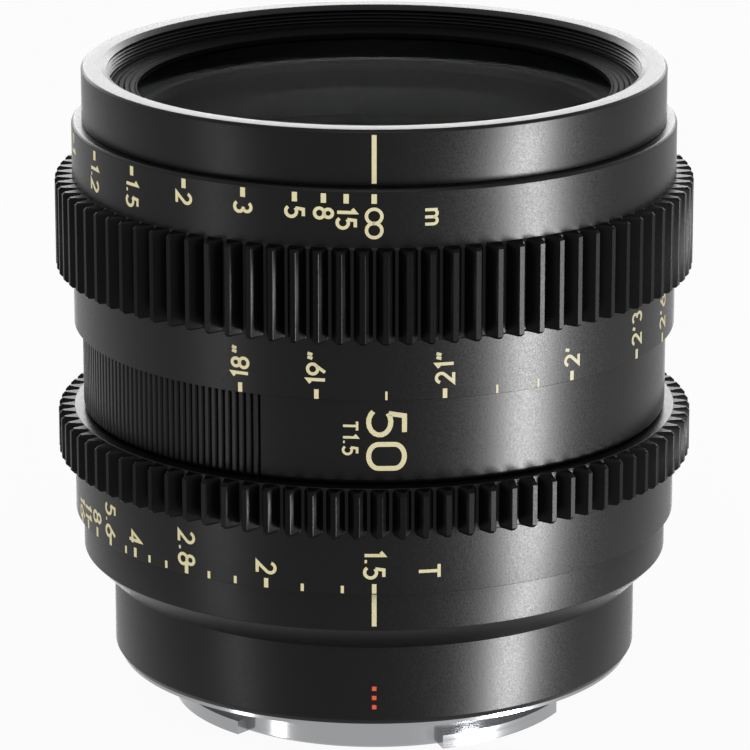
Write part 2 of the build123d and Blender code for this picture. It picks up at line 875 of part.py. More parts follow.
# Key from the iris ring to the fork of the diaphragm, and its screw
with BuildPart() as iris_key:
    with BuildSketch(radial_plane(key_angle, key_level, key_tip_radius)):
        Rectangle(key_width, key_width)
    extrude(amount=key_head_radius - key_tip_radius)
    with BuildSketch(Plane.XY.offset(key_level - key_width)):
        with Locations(key_screw_spot):
            Circle(key_screw_shank)
    extrude(
        amount=iris_ring_foot + key_screw_length - key_level + key_width, mode=Mode.SUBTRACT
    )
save(iris_key.part, "iris_key")
key_screw = cap_screw(key_screw_shank, key_screw_head, key_screw_head_height, key_screw_length)
with BuildPart() as iris_key_screw:
    x, y = key_screw_spot
    with Locations(Location((x, y, iris_ring_foot), (180, 0, 0))):
        add(key_screw)
save(iris_key_screw.part, "iris_key_screw")

# Index ring: fixed scale ring with the 45 degree undercut
with BuildPart() as index_ring:
    with BuildSketch(Plane.XZ):
        with BuildLine():
            Polyline(
                (rear_bore, undercut_foot),
                (undercut_foot_radius, undercut_foot),
                (index_radius, index_foot),
                (index_radius, iris_foot),
                (rear_bore, iris_foot),
                close=True,
            )
        make_face()
    revolve(axis=Axis.Z)
    with BuildSketch(Plane.XY.offset(iris_foot - dowel_half_length)):
        with Locations(polar(dowel_pitch_radius, stop_pin_angle)):
            Circle(dowel_radius)
    extrude(amount=dowel_half_length, mode=Mode.SUBTRACT)
save(index_ring.part, "index_ring")
with BuildPart() as index_ring_dowel:
    with BuildSketch(Plane.XY.offset(iris_foot - dowel_half_length)):
        with Locations(polar(dowel_pitch_radius, stop_pin_angle)):
            Circle(dowel_radius)
    extrude(amount=2 * dowel_half_length)
save(index_ring_dowel.part, "index_ring_dowel")

# Rear barrel, clamped between the bayonet plate and the index ring
rear_barrel = turned(
    [
        (rear_bore, plate_top),
        (rear_barrel_radius - rear_edge_setback, plate_top),
        (rear_barrel_radius, plate_top + rear_edge_height),
        (rear_barrel_radius, undercut_foot),
        (rear_bore, undercut_foot),
    ]
)
save(rear_barrel, "rear_barrel")

# Bayonet ring: plate, register and three tabs in one chromed brass piece
with BuildPart() as bayonet_ring:
    with BuildSketch(Plane.XZ):
        with BuildLine():
            Polyline(
                (bayonet_bore, 0),
                (bayonet_radius - bayonet_edge_break, 0),
                (bayonet_radius, bayonet_edge_break),
                (bayonet_radius, flange_level),
                (plate_radius, flange_level),
                (plate_radius, plate_top),
                (boss_radius, plate_top),
                (boss_radius, boss_top),
                (bayonet_bore, boss_top),
                close=True,
            )
        make_face()
    revolve(axis=Axis.Z)
    for start, end in tab_arcs:
        add(sector(bayonet_radius - baffle_wall, tab_radius, start, end, 0, tab_thickness))
    with BuildSketch(Plane.XY.offset(flange_level)):
        with Locations(polar(mount_screw_pitch_radius, lock_hole_angle)):
            Circle(lock_hole_radius)
    extrude(amount=lock_hole_depth, mode=Mode.SUBTRACT)
    with BuildSketch(Plane.XY.offset(flange_level)):
        with Locations(*[spot for _, spot in mount_screw_spots]):
            Circle(mount_screw_head)
    extrude(amount=mount_screw_head_height, mode=Mode.SUBTRACT)
    with BuildSketch(Plane.XY.offset(flange_level)):
        with Locations(*[spot for _, spot in mount_screw_spots]):
            Circle(mount_screw_shank)
    extrude(amount=boss_height + cut_overrun, mode=Mode.SUBTRACT)
save(bayonet_ring.part, "bayonet_ring")

# Shim that sets the register, and the four mount screws
with BuildPart() as mount_shim:
    with BuildSketch(Plane.XY.offset(boss_top)):
        Circle(boss_radius)
        Circle(bayonet_radius, mode=Mode.SUBTRACT)
        with Locations(*[spot for _, spot in mount_screw_spots]):
            Circle(mount_screw_shank, mode=Mode.SUBTRACT)
    extrude(amount=shim_thickness)
save(mount_shim.part, "mount_shim")
mount_screw = cap_screw(
    mount_screw_shank, mount_screw_head, mount_screw_head_height, mount_screw_length
)
with BuildPart() as bayonet_screws:
    with Locations(
        *[Location((x, y, flange_level), (180, 0, 0)) for _, (x, y) in mount_screw_spots]
    ):
        add(mount_screw)
save(bayonet_screws.part, "bayonet_screws")

# Light baffle pressed into the bayonet from behind
baffle_outer = bayonet_bore - baffle_fit
rear_light_baffle = turned(
    [
        (baffle_opening_radius, baffle_rise),
        (baffle_outer, baffle_rise),
        (baffle_outer, baffle_rise + baffle_height),
        (baffle_outer - baffle_wall, baffle_rise + baffle_height),
        (baffle_outer - baffle_wall, baffle_rise + baffle_wall),
        (baffle_opening_radius, baffle_rise + baffle_wall),
    ]
)
save(rear_light_baffle, "rear_light_baffle")

# Carrier: slides in the barrel with all the moving glass and the diaphragm
with BuildPart() as focus_carrier:
    with BuildSketch(Plane.XZ):
        with BuildLine():
            Polyline(
                (carrier_bore, carrier_foot),
                (carrier_radius, carrier_foot),
                (carrier_radius, carrier_top),
                (carrier_front_bore, carrier_top),
                (carrier_front_bore, iris_shoulder),
                (carrier_bore, iris_shoulder),
                close=True,
            )
        make_face()
    revolve(axis=Axis.Z)
    for angle, level in zip(roller_angles, roller_levels):
        with BuildSketch(radial_plane(angle, level, carrier_radius - roller_seat_depth)):
            Circle(roller_radius + running_clearance)
        extrude(amount=cut_overrun, mode=Mode.SUBTRACT)
        with BuildSketch(radial_plane(angle, level, carrier_front_bore - cut_overrun)):
            Circle(roller_bore_radius)
        extrude(amount=slot_reach, mode=Mode.SUBTRACT)
    add(
        sector(
            carrier_front_bore,
            carrier_radius + cut_overrun,
            key_angle - key_half_angle,
            key_angle + iris_throw + key_half_angle,
            key_level - key_width / 2 - window_margin - focus_travel,
            key_level + key_width / 2 + window_margin,
        ),
        mode=Mode.SUBTRACT,
    )
save(focus_carrier.part, "focus_carrier")

# Cam rollers and the screws that hold them to the carrier
roller_foot_radius = carrier_radius - roller_seat_depth
with BuildPart() as cam_rollers:
    for angle, level in zip(roller_angles, roller_levels):
        with BuildSketch(radial_plane(angle, level, roller_foot_radius)):
            Circle(roller_radius)
            Circle(roller_bore_radius, mode=Mode.SUBTRACT)
        extrude(amount=roller_top_radius - roller_foot_radius)
save(cam_rollers.part, "cam_rollers")
roller_screw = cap_screw(
    roller_bore_radius, roller_screw_head, roller_screw_head_height, roller_screw_length
)
with BuildPart() as roller_screws:
    for angle, level in zip(roller_angles, roller_levels):
        with Locations(radial_plane(angle, level, roller_top_radius + roller_screw_head_height)):
            add(roller_screw)
save(roller_screws.part, "roller_screws")

# Front cell: screwed into the carrier from the front, with three elements
front_cell_foot = iris_shoulder + front_cell_foot_gap
element_4_foot = front_cell_foot + front_cell_lip
element_3_foot = element_4_foot + front_step_one
element_2_foot = element_3_foot + front_step_two
element_3_top = element_3_foot + element_3_edge
element_2_top = element_2_foot + element_2_edge
front_cell_top = carrier_top + front_cell_flange
front_cell = turned(
    [
        (element_4_radius - front_cell_lip, front_cell_foot),
        (carrier_front_bore - running_clearance, front_cell_foot),
        (carrier_front_bore - running_clearance, carrier_top),
        (front_cell_flange_radius, carrier_top),
        (front_cell_flange_radius, front_cell_top),
        (element_2_radius + running_clearance, front_cell_top),
        (element_2_radius + running_clearance, element_2_foot),
        (element_3_radius + running_clearance, element_2_foot),
        (element_3_radius + running_clearance, element_3_foot),
        (element_4_radius + running_clearance, element_3_foot),
        (element_4_radius + running_clearance, element_4_foot),
        (element_4_radius - front_cell_lip, element_4_foot),
    ]
)
save(front_cell, "front_cell")
element_4 = lens_element(
    element_4_radius,
    element_4_foot,
    element_4_foot + element_4_edge,
    -element_4_back_curve,
    element_4_front_curve,
)
save(element_4, "element_4")
element_3 = lens_element(
    element_3_radius,
    element_3_foot,
    element_3_top,
    -element_3_back_curve,
    element_3_front_curve,
)
save(element_3, "element_3")
element_2 = lens_element(
    element_2_radius,
    element_2_foot,
    element_2_top,
    -element_2_back_curve,
    element_2_front_curve,
)
save(element_2, "element_2")
inner_spacer = tube(
    element_3_radius - spacer_wall,
    element_3_radius,
    element_3_top + seat_rise(element_3_front_curve, element_3_radius, spacer_wall),
    element_2_foot,
)
save(inner_spacer, "inner_spacer")
front_retainer_foot = element_2_top + seat_rise(
    element_2_front_curve, element_2_radius, front_cell_retainer_width
)
front_cell_retaining_ring = tube(
    element_2_radius - front_cell_retainer_width,
    element_2_radius,
    front_retainer_foot,
    front_retainer_foot + front_cell_retainer_height,
)
save(front_cell_retaining_ring, "front_cell_retaining_ring")

# Rear cell: screwed into the carrier from the rear, with three elements
rear_cell_foot = barrel_foot + rear_cell_tail_gap
rear_cell_top = actuator_foot - rear_cell_top_gap
rear_flange_foot = carrier_foot + rear_cell_flange_lift
element_7_top = rear_cell_foot + element_7_bore_depth
element_6_seat_width = element_6_radius - element_5_radius - running_clearance
element_6_top = (
    rear_cell_foot
    + element_6_seat
    - seat_rise(element_6_curve, element_6_radius, element_6_seat_width)
)
element_5_top = rear_cell_top - rear_cell_lip
element_7_foot = element_7_top - element_7_edge
element_5_foot = element_5_top - element_5_edge
rear_cell = turned(
    [
        (element_7_radius + running_clearance, rear_cell_foot),
        (rear_cell_tail_radius, rear_cell_foot),
        (rear_cell_tail_radius, rear_flange_foot),
        (carrier_bore - running_clearance, rear_flange_foot),
        (carrier_bore - running_clearance, rear_flange_foot + rear_cell_flange),
        (rear_cell_radius, rear_flange_foot + rear_cell_flange),
        (rear_cell_radius, rear_cell_top),
        (rear_cell_lip_radius, rear_cell_top),
        (rear_cell_lip_radius, element_5_top),
        (element_5_radius + running_clearance, element_5_top),
        (element_5_radius + running_clearance, rear_cell_foot + element_6_seat),
        (element_6_radius + running_clearance, rear_cell_foot + element_6_seat),
        (element_6_radius + running_clearance, element_7_top),
        (element_7_radius + running_clearance, element_7_top),
    ]
)
save(rear_cell, "rear_cell")
element_5 = lens_element(
    element_5_radius, element_5_foot, element_5_top, element_5_back_curve, -element_5_front_curve
)
save(element_5, "element_5")
element_6 = lens_element(
    element_6_radius, element_6_top - element_6_edge, element_6_top, element_6_curve, element_6_curve
)
save(element_6, "element_6")
element_7 = lens_element(
    element_7_radius, element_7_foot, element_7_top, element_7_back_curve, -element_7_front_curve
)
save(element_7, "element_7")
rear_spacer = tube(
    element_5_radius - spacer_wall,
    element_5_radius,
    element_6_top
    + seat_rise(element_6_curve, element_6_radius, element_6_radius - element_5_radius + spacer_wall),
    element_5_foot - seat_rise(element_5_back_curve, element_5_radius, spacer_wall),
)
save(rear_spacer, "rear_spacer")
rear_retaining_ring = tube(
    element_7_radius - rear_retainer_width,
    element_7_radius,
    rear_cell_foot + rear_retainer_gap,
    element_7_foot - seat_rise(element_7_back_curve, element_7_radius, rear_retainer_width),
)
save(rear_retaining_ring, "rear_retaining_ring")

# Diaphragm housing: a cup whose floor carries the blade pivots
blade_angles = [k * 360 / blade_count for k in range(blade_count)]
with BuildPart() as iris_base_plate:
    with BuildSketch(Plane.XZ):
        with BuildLine():
            Polyline(
                (base_plate_bore, base_plate_foot),
                (base_skirt_inner_radius, base_plate_foot),
                (base_skirt_inner_radius, skirt_foot),
                (carrier_bore, skirt_foot),
                (carrier_bore, iris_shoulder),
                (base_plate_bore, iris_shoulder),
                close=True,
            )
        make_face()
    revolve(axis=Axis.Z)
    with BuildSketch(Plane.XY.offset(base_plate_foot)):
        with PolarLocations(blade_pivot_radius, blade_count):
            Circle(pivot_hole_radius)
    extrude(amount=base_plate_thickness, mode=Mode.SUBTRACT)
save(iris_base_plate.part, "iris_base_plate")
iris_retaining_ring = tube(
    iris_retainer_inner_radius, base_skirt_inner_radius, iris_retainer_foot, iris_retainer_top
)
save(iris_retaining_ring, "iris_retaining_ring")


def drive_pin_spot(share):
    """Place of a drive pin while its blade has closed by a share of its swing."""
    lever_angle = radians(blade_lever_angle + blade_swing * share)
    return (
        blade_pivot_radius + blade_lever * cos(lever_angle),
        blade_lever * sin(lever_angle),
    )


def slot_spot(share, blade_angle):
    """The same place, as seen from the turning actuator."""
    x, y = drive_pin_spot(share)
    angle = degrees(atan2(y, x)) - iris_throw * share
    return polar(sqrt(x**2 + y**2), angle + blade_angle)


# Actuator: ring with one spiral slot for each blade and a fork for the key
fork_gap_angle = arc_span(key_width / 2 + fork_clearance, fork_inner_radius)
fork_end_angle = fork_gap_angle + arc_span(fork_prong_width, fork_inner_radius)
fork_foot = key_level - key_width / 2 - focus_travel - window_margin
with BuildPart() as iris_actuator:
    with BuildSketch(Plane.XY.offset(actuator_foot)):
        Circle(actuator_radius)
        Circle(actuator_bore, mode=Mode.SUBTRACT)
        for angle in blade_angles:
            track = ThreePointArc(
                slot_spot(0, angle), slot_spot(0.5, angle), slot_spot(1, angle), mode=Mode.PRIVATE
            )
            SlotArc(track, 2 * drive_slot_radius, mode=Mode.SUBTRACT)
    extrude(amount=actuator_thickness)
    for side in (-1, 1):
        near = key_angle + side * fork_gap_angle
        far = key_angle + side * fork_end_angle
        add(sector(fork_inner_radius, fork_outer_radius, near, far, fork_foot, actuator_foot))
save(iris_actuator.part, "iris_actuator")


def iris_blade(level):
    """Blade at angle zero: crescent, pivot pin up and drive pin down."""
    body_middle = (blade_open_radius + blade_outer_radius) / 2
    body_half = (blade_outer_radius - blade_open_radius) / 2
    root = polar(body_middle, blade_root_angle)
    pivot = (blade_pivot_radius, 0)
    end_angle = blade_root_angle + blade_sweep
    a, b, c, d, e, f = sector_points(
        blade_open_radius, blade_outer_radius, blade_root_angle, end_angle
    )
    with BuildPart() as blade:
        with BuildSketch(Plane.XY.offset(level)):
            with BuildLine():
                CenterArc(pivot, blade_boss_radius, 0, 360)
                CenterArc(drive_pin_spot(0), drive_boss_radius, 0, 360)
                CenterArc(root, body_half, 0, 360)
            make_hull()
            with BuildLine():
                ThreePointArc(a, b, c)
                Line(c, f)
                ThreePointArc(f, e, d)
                Line(d, a)
            make_face()
            with Locations(polar(body_middle, end_angle)):
                Circle(body_half)
        extrude(amount=blade_thickness)
        with BuildSketch(Plane.XY.offset(level)):
            with Locations(pivot):
                Circle(pivot_pin_radius)
        extrude(amount=base_plate_foot + pivot_engagement - level)
        with BuildSketch(Plane.XY.offset(actuator_foot)):
            with Locations(drive_pin_spot(0)):
                Circle(drive_pin_radius)
        extrude(amount=level - actuator_foot)
    return blade.part


# Twelve blades, each one level below the last
for number, angle in enumerate(blade_angles):
    level = blade_top - blade_thickness - number * blade_pitch
    with BuildPart() as placed_blade:
        with Locations(Location((0, 0, 0), (0, 0, angle))):
            add(iris_blade(level))
    save(placed_blade.part, f"iris_blade_{number + 1:02d}")
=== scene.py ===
import json
from collections import namedtuple
from math import asin, ceil, cos, hypot, pi, radians, sin

import bmesh
import bpy
from mathutils import Euler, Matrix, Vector


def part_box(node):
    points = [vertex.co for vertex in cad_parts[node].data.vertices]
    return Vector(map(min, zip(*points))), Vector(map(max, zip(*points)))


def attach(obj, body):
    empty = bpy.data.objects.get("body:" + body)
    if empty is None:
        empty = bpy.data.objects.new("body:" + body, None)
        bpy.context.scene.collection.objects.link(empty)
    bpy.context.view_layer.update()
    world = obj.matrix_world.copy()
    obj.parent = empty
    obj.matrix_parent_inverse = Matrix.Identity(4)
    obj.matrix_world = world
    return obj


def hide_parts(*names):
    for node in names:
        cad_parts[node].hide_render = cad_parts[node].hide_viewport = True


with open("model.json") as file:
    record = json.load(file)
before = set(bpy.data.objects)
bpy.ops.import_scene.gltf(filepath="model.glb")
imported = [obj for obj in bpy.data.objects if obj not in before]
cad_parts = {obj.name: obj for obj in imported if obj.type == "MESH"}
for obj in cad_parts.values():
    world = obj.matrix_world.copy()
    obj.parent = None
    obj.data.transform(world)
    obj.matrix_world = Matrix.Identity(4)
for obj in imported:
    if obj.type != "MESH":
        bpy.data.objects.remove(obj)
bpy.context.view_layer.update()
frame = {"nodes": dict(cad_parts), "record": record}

nodes = frame["nodes"]
MM = 0.001


# Sizes read from the frame, in metres
def outer_radius(node):
    """Largest distance from the optical axis, which is also Z."""
    return max(hypot(v.co.x, v.co.y) for v in nodes[node].data.vertices)


def inner_radius(node):
    return min(hypot(v.co.x, v.co.y) for v in nodes[node].data.vertices)


def foot(node):
    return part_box(node)[0].z


def top(node):
    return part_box(node)[1].z


front_top = top("front_ring")
focus_foot, focus_top = foot("focus_ring"), top("focus_ring")
iris_foot, iris_top = foot("iris_ring"), top("iris_ring")
mid_foot, mid_top = foot("grip_segment"), top("grip_segment")
index_foot, index_top = foot("index_ring"), top("index_ring")
rear_foot, rear_top = foot("rear_barrel"), top("rear_barrel")
front_radius = outer_radius("front_ring")
mid_radius = outer_radius("main_barrel")
index_radius = outer_radius("index_ring")
rear_radius = outer_radius("rear_barrel")

# Sizes that the frame doesn't name: the scale bands under the gears' teeth, and the gears
focus_radius = 34.8 * MM
iris_radius = 34.95 * MM
GEAR_TEETH = 90
GEAR_MODULE = 0.8 * MM
GEAR_TIP = GEAR_MODULE * (GEAR_TEETH / 2 + 1)
GEAR_ROOT = GEAR_MODULE * (GEAR_TEETH / 2 - 1.25)
TIP_HALF_ANGLE = radians(0.506)
ROOT_HALF_ANGLE = radians(1.59)

# Each gear: foot and top of its teeth, the chamfer at their ends, and the angle of the first tooth
Gear = namedtuple("Gear", "foot top chamfer first_angle")
FOCUS_GEAR = Gear(foot=52.1 * MM, top=62.65 * MM, chamfer=0.3 * MM, first_angle=radians(-91.94))
IRIS_GEAR = Gear(foot=29.8 * MM, top=35.2 * MM, chamfer=0.4 * MM, first_angle=radians(-89.0))


# Colours and nodes
def linear(hex_colour, share=1.0):
    """sRGB hex to the linear colour that the shaders take, or a share of it."""
    parts = [int(hex_colour[i : i + 2], 16) / 255 for i in (1, 3, 5)]
    plain = [c / 12.92 if c <= 0.04045 else ((c + 0.055) / 1.055) ** 2.4 for c in parts]
    return tuple(share * c for c in plain) + (1.0,)


def add_node(tree, kind, links=(), inputs=(), **settings):
    """A node with its settings, plain input values and links from (node, output) to an input."""
    made = tree.nodes.new(kind)
    for name, value in settings.items():
        setattr(made, name, value)
    for name, value in dict(inputs).items():
        made.inputs[name].default_value = value
    for name, (source, output) in dict(links).items():
        tree.links.new(source.outputs[output], made.inputs[name])
    return made


# A colour mix has sockets of one name for every type, so its colours go by number
MIX_FIRST, MIX_SECOND, MIX_RESULT = 6, 7, 2


def material(name):
    made = bpy.data.materials.new(name)
    made.use_nodes = True
    made.node_tree.nodes.clear()
    return made, made.node_tree


# Materials
def anodised_aluminium(name, colour, roughness, specular, grain_size, grain_height):
    """Black anodised aluminium, bead blasted first: a soft sheen broken up by very fine grain.
    Blasted grain is finer than this, and is drawn as coarse as it needs to show. Its specular level
    is lower than a real one, so that it stays black in a white room."""
    made, tree = material(name)
    dye_patch = 11.1 * MM
    where = add_node(tree, "ShaderNodeTexCoord")
    grain = add_node(
        tree,
        "ShaderNodeTexNoise",
        {"Vector": (where, "Object")},
        {"Scale": 1 / grain_size, "Detail": 3.0, "Roughness": 0.6},
    )
    dye = add_node(
        tree,
        "ShaderNodeTexNoise",
        {"Vector": (where, "Object")},
        {"Scale": 1 / dye_patch, "Detail": 2.0},
    )
    tone = add_node(
        tree,
        "ShaderNodeMapRange",
        {"Value": (grain, "Fac")},
        {"From Min": 0.3, "From Max": 0.7, "To Min": roughness - 0.05, "To Max": roughness + 0.06},
    )
    shade = add_node(
        tree,
        "ShaderNodeMix",
        {"Factor": (dye, "Fac")},
        {MIX_FIRST: linear(colour), MIX_SECOND: linear(colour, 1.25)},
        data_type="RGBA",
    )
    bump = add_node(
        tree,
        "ShaderNodeBump",
        {"Height": (grain, "Fac")},
        {"Strength": 0.35, "Distance": grain_height},
    )
    shader = add_node(
        tree,
        "ShaderNodeBsdfPrincipled",
        {"Roughness": (tone, "Result"), "Base Color": (shade, MIX_RESULT), "Normal": (bump, "Normal")},
        {"Specular IOR Level": specular},
    )
    add_node(tree, "ShaderNodeOutputMaterial", {"Surface": (shader, "BSDF")})
    return made


def chromed_brass():
    """Chrome plating on turned brass: a mirror with faint circular tool marks. Its grey is darker
    than polished chrome. That is painted shade, standing in for a darker room in its mirror, so that it
    stands off the white table."""
    made, tree = material("chrome_plated_brass_turned")
    tool_mark = MM / 6
    where = add_node(tree, "ShaderNodeTexCoord")
    split = add_node(tree, "ShaderNodeSeparateXYZ", {"Vector": (where, "Object")})
    across = add_node(tree, "ShaderNodeMath", {0: (split, "X"), 1: (split, "X")}, operation="MULTIPLY")
    along = add_node(tree, "ShaderNodeMath", {0: (split, "Y"), 1: (split, "Y")}, operation="MULTIPLY")
    square = add_node(tree, "ShaderNodeMath", {0: (across, 0), 1: (along, 0)}, operation="ADD")
    radius = add_node(tree, "ShaderNodeMath", {0: (square, 0)}, operation="SQRT")
    place = add_node(tree, "ShaderNodeCombineXYZ", {"X": (radius, 0), "Y": (split, "Z")})
    marks = add_node(
        tree, "ShaderNodeTexNoise", {"Vector": (place, "Vector")}, {"Scale": 1 / tool_mark, "Detail": 1.0}
    )
    bump = add_node(
        tree, "ShaderNodeBump", {"Height": (marks, "Fac")}, {"Strength": 0.12, "Distance": 0.02 * MM}
    )
    tone = add_node(tree, "ShaderNodeMapRange", {"Value": (marks, "Fac")}, {"To Min": 0.1, "To Max": 0.2})
    shader = add_node(
        tree,
        "ShaderNodeBsdfPrincipled",
        {"Normal": (bump, "Normal"), "Roughness": (tone, "Result")},
        # The dark grey is painted shade: it mirrors a darker room than the white one around it
        {"Base Color": linear("#97989A"), "Metallic": 1.0},
    )
    add_node(tree, "ShaderNodeOutputMaterial", {"Surface": (shader, "BSDF")})
    return made


def coated_glass():
    """Optical glass. Its coating leaves so little reflection that a low index stands for both."""
    made, tree = material("coated_optical_glass")
    shader = add_node(
        tree,
        "ShaderNodeBsdfPrincipled",
        (),
        {"Base Color": linear("#F2F5F7"), "Roughness": 0.02, "Transmission Weight": 1.0, "IOR": 1.006},
    )
    add_node(tree, "ShaderNodeOutputMaterial", {"Surface": (shader, "BSDF")})
    return made


def matt_colour(name, colour):
    """Enamel wiped into marks, or machined acetal: matt, in a slightly uneven colour."""
    made, tree = material(name)
    patch = 0.4 * MM
    where = add_node(tree, "ShaderNodeTexCoord")
    cover = add_node(
        tree, "ShaderNodeTexNoise", {"Vector": (where, "Object")}, {"Scale": 1 / patch, "Detail": 2.0}
    )
    shade = add_node(
        tree,
        "ShaderNodeMix",
        {"Factor": (cover, "Fac")},
        {MIX_FIRST: linear(colour, 0.9), MIX_SECOND: linear(colour)},
        data_type="RGBA",
    )
    shader = add_node(
        tree,
        "ShaderNodeBsdfPrincipled",
        {"Base Color": (shade, MIX_RESULT)},
        {"Roughness": 0.6, "Specular IOR Level": 0.3},
    )
    add_node(tree, "ShaderNodeOutputMaterial", {"Surface": (shader, "BSDF")})
    return made


def plain_metal(name, colour, roughness):
    """Machined steel or brass: metal with a little uneven roughness from handling."""
    made, tree = material(name)
    smudge_size = 0.833 * MM
    where = add_node(tree, "ShaderNodeTexCoord")
    smudge = add_node(
        tree, "ShaderNodeTexNoise", {"Vector": (where, "Object")}, {"Scale": 1 / smudge_size, "Detail": 2.0}
    )
    tone = add_node(
        tree,
        "ShaderNodeMapRange",
        {"Value": (smudge, "Fac")},
        {"To Min": roughness - 0.06, "To Max": roughness + 0.08},
    )
    shader = add_node(
        tree,
        "ShaderNodeBsdfPrincipled",
        {"Roughness": (tone, "Result")},
        {"Base Color": linear(colour), "Metallic": 1.0},
    )
    add_node(tree, "ShaderNodeOutputMaterial", {"Surface": (shader, "BSDF")})
    return made


barrel_black = anodised_aluminium(
    "black_anodised_aluminium",
    "#050505",
    roughness=0.34,
    specular=0.14,
    grain_size=0.22 * MM,
    grain_height=0.02 * MM,
)
gear_black = anodised_aluminium(
    "gear_anodised_aluminium",
    "#030303",
    roughness=0.38,
    specular=0.07,
    grain_size=0.25 * MM,
    grain_height=0.015 * MM,
)
inner_black = anodised_aluminium(
    "matt_black_anodised_aluminium",
    "#040404",
    roughness=0.6,
    specular=0.03,
    grain_size=0.3 * MM,
    grain_height=0.03 * MM,
)
chrome = chromed_brass()
glass = coated_glass()
cream_paint = matt_colour("cream_engraving_enamel", "#E4DAAC")
orange_paint = matt_colour("orange_engraving_enamel", "#F0501E")
steel = plain_metal("stainless_steel_machined", "#8E8E90", roughness=0.3)
blade_steel = plain_metal("blackened_spring_steel", "#161617", roughness=0.35)
shim_brass = plain_metal("rolled_brass", "#C6A25A", roughness=0.3)
acetal = matt_colour("machined_acetal", "#E4E4DF")

# Mesh helpers
RING_STEPS = 360
SHARP_ANGLE = radians(32)


def on_axis(radius, angle, level):
    return (radius * cos(angle), radius * sin(angle), level)


def mesh_from(name, made):
    """Plain mesh from a closed bmesh, with its faces outwards."""
    bmesh.ops.recalc_face_normals(made, faces=made.faces)
    mesh = bpy.data.meshes.new(name)
    made.to_mesh(mesh)
    made.free()
    return mesh


def placed_object(name, mesh):
    piece = bpy.data.objects.new(name, mesh)
    bpy.context.scene.collection.objects.link(piece)
    return piece


def finished(name, mesh, surface):
    """Object at the origin, smooth but for its sharp edges, with one material."""
    mesh.materials.clear()
    mesh.materials.append(surface)
    mesh.shade_smooth()
    mesh.set_sharp_from_angle(angle=SHARP_ANGLE)
    return placed_object(name, mesh)


def eased(profile, radius, steps=3):
    """A closed outline with each corner replaced by a small arc, or by less on a short side."""
    most_of_side = 0.35
    result = []
    count = len(profile)
    for i in range(count):
        before = Vector(profile[i - 1])
        here = Vector(profile[i])
        after = Vector(profile[(i + 1) % count])
        reach = min(radius, (before - here).length * most_of_side, (after - here).length * most_of_side)
        start = here + (before - here).normalized() * reach
        end = here + (after - here).normalized() * reach
        for k in range(steps + 1):
            t = k / steps
            point = start * (1 - t) ** 2 + here * 2 * t * (1 - t) + end * t**2
            result.append((point.x, point.y))
    return result


def ring_mesh(name, profiles, first_angle=0.0):
    """Mesh of a full turn from one closed (radius, level) outline for each step."""
    made = bmesh.new()
    steps = len(profiles)
    rings = []
    for i, profile in enumerate(profiles):
        angle = first_angle + 2 * pi * i / steps
        rings.append([made.verts.new(on_axis(r, angle, z)) for r, z in profile])
    count = len(profiles[0])
    for i in range(steps):
        a, b = rings[i], rings[(i + 1) % steps]
        for k in range(count):
            made.faces.new((a[k], b[k], b[(k + 1) % count], a[(k + 1) % count]))
    return mesh_from(name, made)


def lathe(name, profile, surface, ease):
    """Turned piece from a closed outline of (radius, level) points."""
    return finished(name, ring_mesh(name, [eased(profile, ease)] * RING_STEPS), surface)


def stacked(name, sections, surface):
    """Closed block through equal sections, each a list of (x, y, z) points."""
    made = bmesh.new()
    rings = [[made.verts.new(p) for p in section] for section in sections]
    for a, b in zip(rings, rings[1:]):
        count = len(a)
        for k in range(count):
            made.faces.new((a[k], a[(k + 1) % count], b[(k + 1) % count], b[k]))
    made.faces.new(list(reversed(rings[0])))
    made.faces.new(rings[-1])
    return finished(name, mesh_from(name, made), surface)


def both_sides(side, level):
    """Section that is even about angle zero, from the (radius, angle) points of one side."""
    return [on_axis(r, -a, level) for r, a in side] + [on_axis(r, a, level) for r, a in reversed(side)]


def joined(name, pieces):
    """One object from several, with their materials kept."""
    made = bmesh.new()
    mesh = bpy.data.meshes.new(name)
    surfaces = []
    for piece in pieces:
        for surface in piece.data.materials:
            if surface not in surfaces:
                surfaces.append(surface)
    for piece in pieces:
        start = len(made.faces)
        made.from_mesh(piece.data)
        made.faces.ensure_lookup_table()
        for face in made.faces[start:]:
            face.material_index = surfaces.index(piece.data.materials[face.material_index])
    made.to_mesh(mesh)
    made.free()
    for surface in surfaces:
        mesh.materials.append(surface)
    for piece in pieces:
        bpy.data.objects.remove(piece)
    return placed_object(name, mesh)


# Geometry Nodes: copies of one template, turned about the optical axis
def round_axis_tree():
    tree = bpy.data.node_groups.new("copies_round_the_axis", "GeometryNodeTree")
    sockets = (
        ("Template", "NodeSocketObject"),
        ("Count", "NodeSocketInt"),
        ("First Angle", "NodeSocketFloat"),
        ("Angle Step", "NodeSocketFloat"),
        ("Finish", "NodeSocketMaterial"),
    )
    tree.interface.new_socket("Geometry", in_out="OUTPUT", socket_type="NodeSocketGeometry")
    for name, kind in sockets:
        tree.interface.new_socket(name, in_out="INPUT", socket_type=kind)
    given = add_node(tree, "NodeGroupInput")
    points = add_node(tree, "GeometryNodePoints", {"Count": (given, "Count")})
    number = add_node(tree, "GeometryNodeInputIndex")
    angle = add_node(
        tree,
        "ShaderNodeMath",
        {0: (number, "Index"), 1: (given, "Angle Step"), 2: (given, "First Angle")},
        operation="MULTIPLY_ADD",
    )
    turn = add_node(tree, "ShaderNodeCombineXYZ", {"Z": (angle, "Value")})
    template = add_node(tree, "GeometryNodeObjectInfo", {"Object": (given, "Template")})
    copies = add_node(
        tree,
        "GeometryNodeInstanceOnPoints",
        {
            "Points": (points, "Geometry"),
            "Instance": (template, "Geometry"),
            "Rotation": (turn, "Vector"),
        },
    )
    real = add_node(tree, "GeometryNodeRealizeInstances", {"Geometry": (copies, "Instances")})
    finish = add_node(
        tree,
        "GeometryNodeSetMaterial",
        {"Geometry": (real, "Geometry"), "Material": (given, "Finish")},
    )
    add_node(tree, "NodeGroupOutput", {"Geometry": (finish, "Geometry")})
    return tree


round_axis = round_axis_tree()


